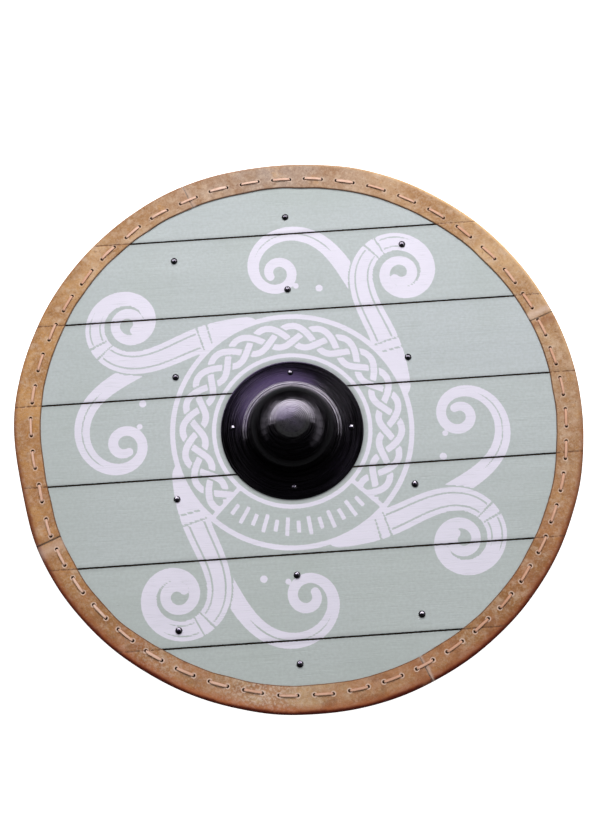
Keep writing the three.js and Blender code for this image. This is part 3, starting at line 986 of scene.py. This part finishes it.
# Battens and handle: planed bars with eased edges, leaning alike behind the planks
bars = {
    "batten_left": {"across": -162.3, "reach": 288.0, "half": 15.0, "grip": 15.0},
    "batten_right": {"across": 167.5, "reach": 288.0, "half": 15.0, "grip": 15.0},
    "handle": {"across": 0.0, "reach": 349.1, "half": 18.0, "grip": 14.0},
    "thickness": 14.7, "stations": 220, "ease": {"batten": 2.0, "handle": 4.0},
    "flareFrom": 65.0, "flareLength": 60.0,    # mm from the middle, where the grip widens
    "roughness": 0.35, "roughSize": 16.0,
}


def makeBar(node, p, cutter, number):
    bar = p[node]
    ease = p["ease"][node.split("_")[0]]
    along = np.linspace(-bar["reach"], bar["reach"], p["stations"])
    flare = np.clip((np.abs(along) - p["flareFrom"]) / p["flareLength"], 0, 1)
    half = bar["grip"] + (bar["half"] - bar["grip"]) * flare ** 2 * (3 - 2 * flare)
    corner = np.linspace(0, 90, 5) * degree
    # four eased corners: side, top or bottom, and the turn round each
    corners = ((1, 1, 0), (-1, 1, 90), (-1, -1, 180), (1, -1, 270))
    section = np.array([(sx, sz, math.cos(a), math.sin(a))
                        for sx, sz, first in corners for a in corner + first * degree])
    tip = np.sqrt(np.clip(1 - ((np.abs(along) - bar["reach"] + ease) / ease).clip(0) ** 2, 0.0, 1))
    pull = ease * (1 - tip)
    middle = p["thickness"] / 2
    u = section[:, 0] * (half[:, None] - ease - pull[:, None]) + section[:, 2] * ease
    w = middle + section[:, 1] * (middle - ease - pull[:, None] * 0.6) + section[:, 3] * ease
    v = np.broadcast_to(along[:, None], u.shape)
    lean = shield["lean"]
    x0, y0 = bossMiddle[0] + bar["across"] / math.cos(lean), bossMiddle[1]
    points = np.stack([
        x0 + u * math.cos(lean) + v * math.sin(lean), y0 + v * math.cos(lean) - u * math.sin(lean), w,
    ], -1).reshape(-1, 3)
    inner = np.clip((p["thickness"] - points[:, 2]) / 3, 0, 1) * np.clip((points[:, 2]) / 3, 0, 1)
    points[:, 0] += inner * p["roughness"] * clouds(points * [1, 0.3, 1], p["roughSize"], 40 + number)
    count = len(section)
    faces = [gridFaces(len(along), count, closeColumns=True), endFaces(len(along), count)]
    piece = makePiece(node.replace("_", ""), points, faces)
    cutAway(piece, cutter)
    return piece


print("iron and bars described")


# Materials: colours are linear, sizes are per metre, and a share runs from nothing to one
paintedLook = {
    "ground": ((0.415, 0.446, 0.475), (0.382, 0.424, 0.403)),    # of the top and of the bottom plank
    "grain": (26.0, 300.0), "slow": (7.0, 0.5, 0.22), "dust": (34.0, 0.34, 0.10),
    "specks": (340.0, 0.27, 0.04), "smears": (11.0, 0.16, 0.05), "worn": (60.0, 0.26, 0.06),
    "veil": 0.20, "veilTone": (0.52, 0.56, 0.575),
    "paint": ((0.665, 0.635, 0.735), (0.63, 0.605, 0.70)), "ragged": 1.3, "softEdge": 0.35,
    "seamTone": (0.004, 0.004, 0.004), "seamLine": (1.25, 0.8), "seamShade": (7.0, 1.5),
}


def makePaintedWood(p):
    material, shader, where = newMaterial("paintedWood")
    tone = mark(where, "tone")
    grain = woodGrain(where, *p["grain"], times(tone, 0.7))
    slow, dust = smudges(where, *p["slow"]), smudges(where, *p["dust"])
    fromHalf = minus(noise(where, 420.0, 3.0), 0.5)
    ground = layered(
        mixColour(tone, *p["ground"]),
        (slow, 0.5, (0.385, 0.42, 0.425)),
        (grain["Lines"], 0.18, (0.30, 0.325, 0.325)),
        (grain["Bands"], 0.16, (0.50, 0.54, 0.55)),
        (dust, 0.24, (0.25, 0.27, 0.255)),
        (smudges(where, *p["specks"]), 0.6, (0.24, 0.25, 0.24)),
        (mark(where, "dirt"), 0.42, (0.32, 0.365, 0.335)),
        (ramp(noise(where, 240.0, 3.0), 0.38, 0.62), 0.32, (0.30, 0.32, 0.31)),
    )
    ground = mixColour(p["veil"], ground, p["veilTone"])
    edge = plus(mark(where, "paint"), times(fromHalf, p["ragged"]))
    thin = calc("MAXIMUM", times(grain["Pores"], 0.22), times(smudges(where, *p["worn"]), 0.16))
    painted = times(ramp(edge, -p["softEdge"], p["softEdge"]), minus(1.0, thin))
    seam = mark(where, "seam")
    colour = layered(
        mixColour(painted, ground, mixColour(slow, *p["paint"])),
        (smudges(where, *p["smears"]), plus(0.1, times(dust, 0.5)), (0.20, 0.21, 0.20)),
        (ramp(seam, *p["seamShade"]), 0.20, (0.16, 0.165, 0.16)),
        # near-black line along each seam: a dark joint, partly painted shade of the groove
        (ramp(plus(seam, times(fromHalf, 1.1)), *p["seamLine"]), 1.0, p["seamTone"]),
        # painted shade on the planks round the foot of the boss
        (ramp(mark(where, "fromBoss"), 108.0, 99.0), 0.4, (0.10, 0.10, 0.10)),
    )
    roughness = ramp(painted, 0.0, 1.0, 0.72, 0.6, soft=False)
    fill(shader, {"Base Color": colour, "Roughness": roughness, "Specular IOR Level": 0.3})
    linkBump(shader, minus(times(grain["Lines"], -0.6), grain["Pores"]), 0.35, 0.0004)
    return material


def makeBareWood():
    material, shader, where = newMaterial("bareWood")
    grain = woodGrain(where, 22.0, 210.0, 3.0)
    colour = layered(
        mixColour(smudges(where, 9.0, 0.5, 0.25), (0.36, 0.235, 0.135), (0.30, 0.19, 0.105)),
        (grain["Bands"], 0.5, (0.44, 0.30, 0.18)),
        (grain["Lines"], 0.55, (0.17, 0.10, 0.052)),
        (grain["Pores"], 0.6, (0.09, 0.05, 0.028)),
    )
    fill(shader, {"Base Color": colour, "Roughness": 0.7})
    linkBump(shader, plus(grain["Lines"], grain["Pores"]), -0.4, 0.0006)
    return material


leatherLook = {
    "tan": (0.45, 0.235, 0.088), "pink": (0.325, 0.24, 0.195),
    "pale": (0.51, 0.335, 0.185), "dark": (0.275, 0.125, 0.046),
    "slow": (24.0, 0.5, 0.16), "fine": (110.0, 0.42, 0.12),
    # stains: size, share, softness, strength, colour, and the mark that they keep to
    "stains": (
        ((24.0, 0.5, 0.16), 0.65, (0.26, 0.118, 0.042), None),
        ((30.0, 0.36, 0.05), 0.5, (0.42, 0.20, 0.05), None),
        ((17.0, 0.34, 0.08), 0.45, (0.27, 0.155, 0.075), None),
        ((52.0, 0.40, 0.06), 0.46, (0.51, 0.36, 0.25), None),
        ((110.0, 0.42, 0.12), 0.38, (0.56, 0.43, 0.33), None),
        ((260.0, 0.38, 0.05), 0.5, (0.15, 0.06, 0.026), None),
        ((380.0, 0.44, 0.10), 0.24, (0.62, 0.47, 0.36), None),
        ((16.0, 0.5, 0.08), 0.4, (0.40, 0.165, 0.085), "lowerSide"),
        ((40.0, 0.43, 0.06), 0.4, (0.19, 0.07, 0.028), "lowerSide"),
        ((260.0, 0.47, 0.07), 0.5, (0.70, 0.57, 0.48), "speckled"),
    ),
    "burnt": (0.215, 0.040, 0.009), "burntRed": (0.36, 0.085, 0.02), "rim": (0.095, 0.013, 0.005),
    "litEdge": (0.90, 0.60, 0.32), "insideEdge": (0.085, 0.035, 0.02),
    "bandDark": (0.26, 0.10, 0.045), "bandPale": (0.56, 0.42, 0.35),
    "ring": (0.66, 0.50, 0.42), "ringAt": 3.3, "hole": (0.006, 0.003, 0.002),
    "crease": (0.10, 0.042, 0.024), "joint": (0.045, 0.02, 0.012),
}


def makeLeatherMaterial(p):
    material, shader, where = newMaterial("leather")
    names = ("inward", "lowerSide", "ember", "hole", "pink")
    inward, lower, ember, hole, pink = [mark(where, name) for name in names]
    slow, fine = smudges(where, *p["slow"]), smudges(where, *p["fine"])
    colour = mixColour(pink, p["tan"], p["pink"])
    for name in ("pale", "dark"):
        colour = mixColour(mark(where, name), colour, p[name])
    for spots, strength, tone, keptTo in p["stains"]:
        mask = smudges(where, *spots)
        if keptTo:
            mask = times(mask, mark(where, keptTo))
        colour = layered(colour, (mask, strength, tone))
    # the burnt outer edge, with painted shade that makes it deeper and wider on the lower side
    burnishAndShade = ramp(inward, plus(5.0, times(lower, 9.0)), 0.5, soft=False)
    depth = calc("ADD", plus(0.25, times(lower, 0.75)), times(pink, 0.2), clamp=True)
    ragged = plus(plus(inward, times(slow, 2.0)), times(ember, 0.9))
    ring = ramp(calc("ABSOLUTE", minus(hole, p["ringAt"])), 1.1, 0.3)
    crease = plus(mark(where, "crease"), ramp(noise(where, 230.0, 3.0), 0.35, 0.75, 0.0, 1.1))
    colour = layered(
        colour,
        (burnishAndShade, depth, mixColour(ember, p["burnt"], p["burntRed"])),
        # painted shade: the rim darkened towards its outer edge on the lower side
        (ramp(ragged, 8.0, 3.0), lower, p["rim"]),
        # painted highlight along the outer edge at the upper right
        (times(ramp(inward, 6.5, 0.5), mark(where, "glow")), 0.75, p["litEdge"]),
        # the darker cut inner edge, and a painted shade line along it
        (ramp(mark(where, "fromInner"), 1.9, 0.9), 0.72, p["insideEdge"]),
        (mark(where, "bandDark"), 0.8, p["bandDark"]),
        (mark(where, "bandPale"), 0.8, p["bandPale"]),
        (ring, plus(0.3, times(lower, 0.45)), p["ring"]),
        # painted shade: near-black discs round the holes, wider than the holes themselves
        (ramp(hole, 2.6, 2.1), 1.0, p["hole"]),
        # painted shade in the creases over the seams
        (ramp(crease, 1.8, 0.6), 0.8, p["crease"]),
        (mark(where, "jointLine"), 0.95, p["joint"]),
    )
    roughness = ramp(fine, 0.0, 1.0, 0.46, 0.6)
    fill(shader, {"Base Color": colour, "Roughness": roughness, "Specular IOR Level": 0.25})
    pores = add(where.id_data, "TexVoronoi", {"Vector": where, "Scale": 900.0}).outputs[0]
    linkBump(shader, plus(times(pores, 0.5), noise(where, 260.0, 4.0)), 0.9, 0.0007)
    return material


def makeLaceMaterial():
    material, shader, where = newMaterial("lace")
    colour = layered(
        mixColour(mark(where, "tone"), (0.57, 0.31, 0.20), (0.75, 0.54, 0.44)),
        # painted shade on the thong's edges
        (mark(where, "edge"), 1.0, (0.21, 0.065, 0.035)),
        (smudges(where, 160.0, 0.45, 0.2), 0.3, (0.36, 0.16, 0.085)),
    )
    fill(shader, {"Base Color": colour, "Roughness": 0.55, "Specular IOR Level": 0.3})
    linkBump(shader, noise(where, 700.0, 3.0), 0.5, 0.0004)
    return material


# Black lacquer, brushed round the boss, with a worn top
lacquerLook = {
    "black": (0.0006, 0.0005, 0.0007), "scuff": (0.003, 0.0026, 0.0034), "nearCap": (0.018, 0.018, 0.018),
    "wornRing": (0.026, 0.026, 0.027), "worn": ((0.020, 0.020, 0.0205), (0.002, 0.002, 0.003)),
    "wornStreak": (0.006, 0.006, 0.007),
    "capEdge": (20.5, 17.0), "ringEdge": (25.0, 23.8),    # mm from the axis
    "polish": 0.08, "dull": (0.15, 0.29), "metal": 0.3, "anisotropy": 0.85,
}


def makeLacquer(p):
    material, shader, where = newMaterial("blackIron")
    tree, fromAxis = where.id_data, mark(where, "fromAxis")
    uneven = plus(fromAxis, times(minus(smudges(where, 45.0, 0.5, 0.2), 0.5), 1.2))
    cap = ramp(uneven, *p["capEdge"])
    flat = add(tree, "SeparateXYZ", {0: where}).outputs
    turn = calc("ARCTAN2", flat[1], flat[0])
    across, along = calc("COSINE", turn), calc("SINE", turn)
    brushed = add(tree, "CombineXYZ", {0: times(fromAxis, 0.9), 1: along, 2: across})
    brush = noise(brushed.outputs[0], 1.3, 5.0, Roughness=0.7)
    grime = smudges(where, 330.0, 0.42, 0.12)
    streak = ramp(brush, 0.42, 0.66)
    colour = layered(
        mixColour(streak, p["black"], p["scuff"]),
        (times(ramp(fromAxis, 34.0, 18.0), streak), 0.6, p["nearCap"]),
        (ramp(uneven, *p["ringEdge"]), ramp(grime, 0.2, 0.9, 0.75, 0.2), p["wornRing"]),
        (cap, 1.0, layered(mixColour(grime, *p["worn"]), (streak, 0.7, p["wornStreak"]))),
    )
    dullest = ramp(calc("ABSOLUTE", across), 0.25, 0.75, *p["dull"])
    polish = ramp(brush, 0.40, 0.66, p["polish"], dullest, soft=False)
    fill(shader, {
        "Base Color": colour, "Roughness": plus(polish, times(cap, 0.10)),
        "Metallic": times(cap, p["metal"]), "Specular IOR Level": 0.05,
        "Anisotropic": p["anisotropy"], "Anisotropic Rotation": 0.25,
        "Tangent": add(tree, "Tangent", direction_type="RADIAL", axis="Z").outputs[0],
    })
    rings = times(calc("SINE", times(fromAxis, 2.6)), ramp(fromAxis, 34.0, 26.0, 0.0, 0.4))
    height = plus(plus(times(brush, 0.5), rings), times(noise(where, 420.0, 3.0), cap))
    linkBump(shader, height, 0.35, 0.0003)
    return material


def makeNailIron():
    material, shader, where = newMaterial("nailIron")
    rust = smudges(where, 240.0, 0.32, 0.1)
    colour = mixColour(rust, (0.004, 0.004, 0.005), (0.03, 0.018, 0.013))
    roughness = ramp(rust, 0.0, 1.0, 0.2, 0.5)
    fill(shader, {"Base Color": colour, "Roughness": roughness, "Specular IOR Level": 0.08})
    linkBump(shader, noise(where, 420.0, 2.0), 0.2, 0.0003)
    return material


def dress(piece, material, slot, *nodes):
    piece.data.materials.clear()
    piece.data.materials.append(material)
    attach(piece, "root")
    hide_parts(*nodes)


# Build and dress every piece
paintedWood, bareWood = makePaintedWood(paintedLook), makeBareWood()
laceSpots = holeSpots(stitching, leather["holeOut"])
laceHoles = makeCutter("laceHoles", laceSpots, leather["holeRadius"], 5, 35, leather["holeSides"])
handHole = makeCutter("handHole", [bossMiddle], planks["handHole"], 10, 30, planks["holeSides"])
ironNodes = sorted(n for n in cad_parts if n.startswith(("nail_", "boss_rivet_")))
shankSpots = [middleOf(n)[:2] for n in ironNodes]
shankHoles = makeCutter("shankHoles", shankSpots, heads["shank"] + heads["gap"], -5, 40, 20)

for i in range(1, 8):
    plank = makePlank(i, planks)
    if i == 4:
        cutAway(plank, handHole)
    cutAway(plank, laceHoles)
    cutAway(plank, shankHoles)
    dress(plank, paintedWood, "painted_wood", f"plank_{i}")
    markPlank(plank, i, bareWood)
print("planks made")

leatherMaterial = makeLeatherMaterial(leatherLook)
for i in range(1, 5):
    rim = makeLeather(i, leather, laceHoles)
    markLeather(rim)
    dress(rim, leatherMaterial, "leather", f"leather_rim_{i}")
print("leather made")

dress(makeLace(thong), makeLaceMaterial(), "lace", "lace")
print("thong made")

ironPieces = [makeBoss(boss, shankHoles)]
dress(ironPieces[0], makeLacquer(lacquerLook), "iron", "boss")
nailIron = makeNailIron()
for number, node in enumerate(ironNodes):
    ironPieces.append(makeNail(node, heads, number))
    dress(ironPieces[-1], nailIron, "iron", node)
for number, node in enumerate(("batten_left", "batten_right", "handle")):
    dress(makeBar(node, bars, shankHoles, number), bareWood, "bare_wood", node)
for cutter in (laceHoles, handHole, shankHoles):
    bpy.data.objects.remove(cutter)
print("iron and bars made")


# Pale floor, soft light from above the top edge, and lights that only the iron reflects
studio = {
    "floorSize": 12.0, "floorTone": 0.9, "floorGlow": 0.25, "floorGlowSeen": 1.0,
    "sky": 0.2, "skyInIron": 0.002,
    # place in metres, aim, size, power, colour
    "soft": (
        ((0.12, 1.3, 1.8), (0, 0.1, 0), (1.7, 1.5), 57.0, (1.0, 0.99, 0.985)),
        ((0.2, 0.05, 3.0), (0, 0, 0), (2.6, 2.6), 23.0, (0.98, 0.99, 1.0)),
    ),
    # the same for the light that only the iron shows
    "iron": ((-0.44, 1.16, 1.96), (0, 0, 0.05), (1.9, 0.5), 112.0, (0.62, 0.42, 1.0)),
    # arcs of small lights for the iron, weaker and higher towards both ends: first and last turn in
    # degrees, count, rise of the middle one, lift of the end ones, size, power
    "arcs": ((18, 160, 12, 39, 9, (0.45, 0.56), 205.0), (-40, 66, 8, 26, 0, (0.52, 0.8), 22.0),
             (132, 196, 6, 24, 0, (0.42, 0.6), 9.0)),
    "arcFade": 0.75, "arcDistance": 2.4, "arcColour": (0.92, 0.84, 1.0),
}


def addLight(name, place, aim, size, power, colour, lit=None):
    data = bpy.data.lights.new(name, "AREA")
    data.shape, data.size, data.size_y = "RECTANGLE", *size
    data.energy, data.color = power, colour
    lamp = bpy.data.objects.new(name, data)
    lamp.location = place
    lamp.rotation_euler = (Vector(aim) - Vector(place)).to_track_quat("-Z", "Y").to_euler()
    lamp.visible_diffuse, lamp.visible_glossy = lit is None, lit is not None
    lamp.visible_camera = lamp.visible_transmission = False
    if lit:
        lamp.light_linking.receiver_collection = lit
    bpy.context.scene.collection.objects.link(lamp)


def makeStudio(p):
    for i, light in enumerate(p["soft"]):
        addLight(f"softLight{i}", *light)
    iron = bpy.data.collections.new("ironPieces")
    for piece in ironPieces:
        iron.objects.link(piece)
    addLight("ironLight0", *p["iron"], iron)
    for row, (start, end, count, rise, lift, size, power) in enumerate(p["arcs"]):
        for i, share in enumerate(np.linspace(0, 1, count)):
            bell = math.sin(math.pi * (0.06 + 0.88 * share)) ** p["arcFade"]
            turn = (start + (end - start) * share) * degree
            up = (rise + lift * (1 - bell)) * degree
            place = p["arcDistance"] * np.array(
                [math.cos(up) * math.cos(turn), math.cos(up) * math.sin(turn), math.sin(up)])
            addLight(f"gleamLight{row}_{i}", place, (0, 0, 0.05), (size[0], size[1] * bell ** 0.5),
                     power * bell ** 1.5, p["arcColour"], iron)
    half = p["floorSize"] / 2 / mm
    corners = np.array([(-half, -half, -0.3), (half, -half, -0.3), (half, half, -0.3), (-half, half, -0.3)])
    floor = makePiece("floor", corners, [np.array([[0, 1, 2, 3]])])
    material, shader, where = newMaterial("floor")
    tone = p["floorTone"]
    colour = mixColour(noise(where, 3.0, 2.0), (tone, tone, tone), (tone * 0.985, tone * 0.985, tone * 0.98))
    seen = add(where.id_data, "LightPath").outputs["Is Camera Ray"]
    glow = ramp(seen, 0.0, 1.0, p["floorGlow"], p["floorGlowSeen"], soft=False)
    fill(shader, {"Base Color": colour, "Roughness": 0.9, "Specular IOR Level": 0.0,
                  "Emission Color": (1, 1, 1, 1), "Emission Strength": glow})
    floor.visible_glossy = False
    floor.data.materials.append(material)
    world = bpy.data.worlds.new("studio")
    world.use_nodes = True
    tree = world.node_tree
    glossy = add(tree, "LightPath").outputs["Is Glossy Ray"]
    strength = ramp(glossy, 0.0, 1.0, p["sky"], p["skyInIron"], soft=False)
    fill(tree.nodes["Background"], {"Strength": strength, "Color": (1, 1, 1, 1)})
    bpy.context.scene.world = world


makeStudio(studio)
bpy.context.scene.view_settings.view_transform = "Standard"

print("scene ready")
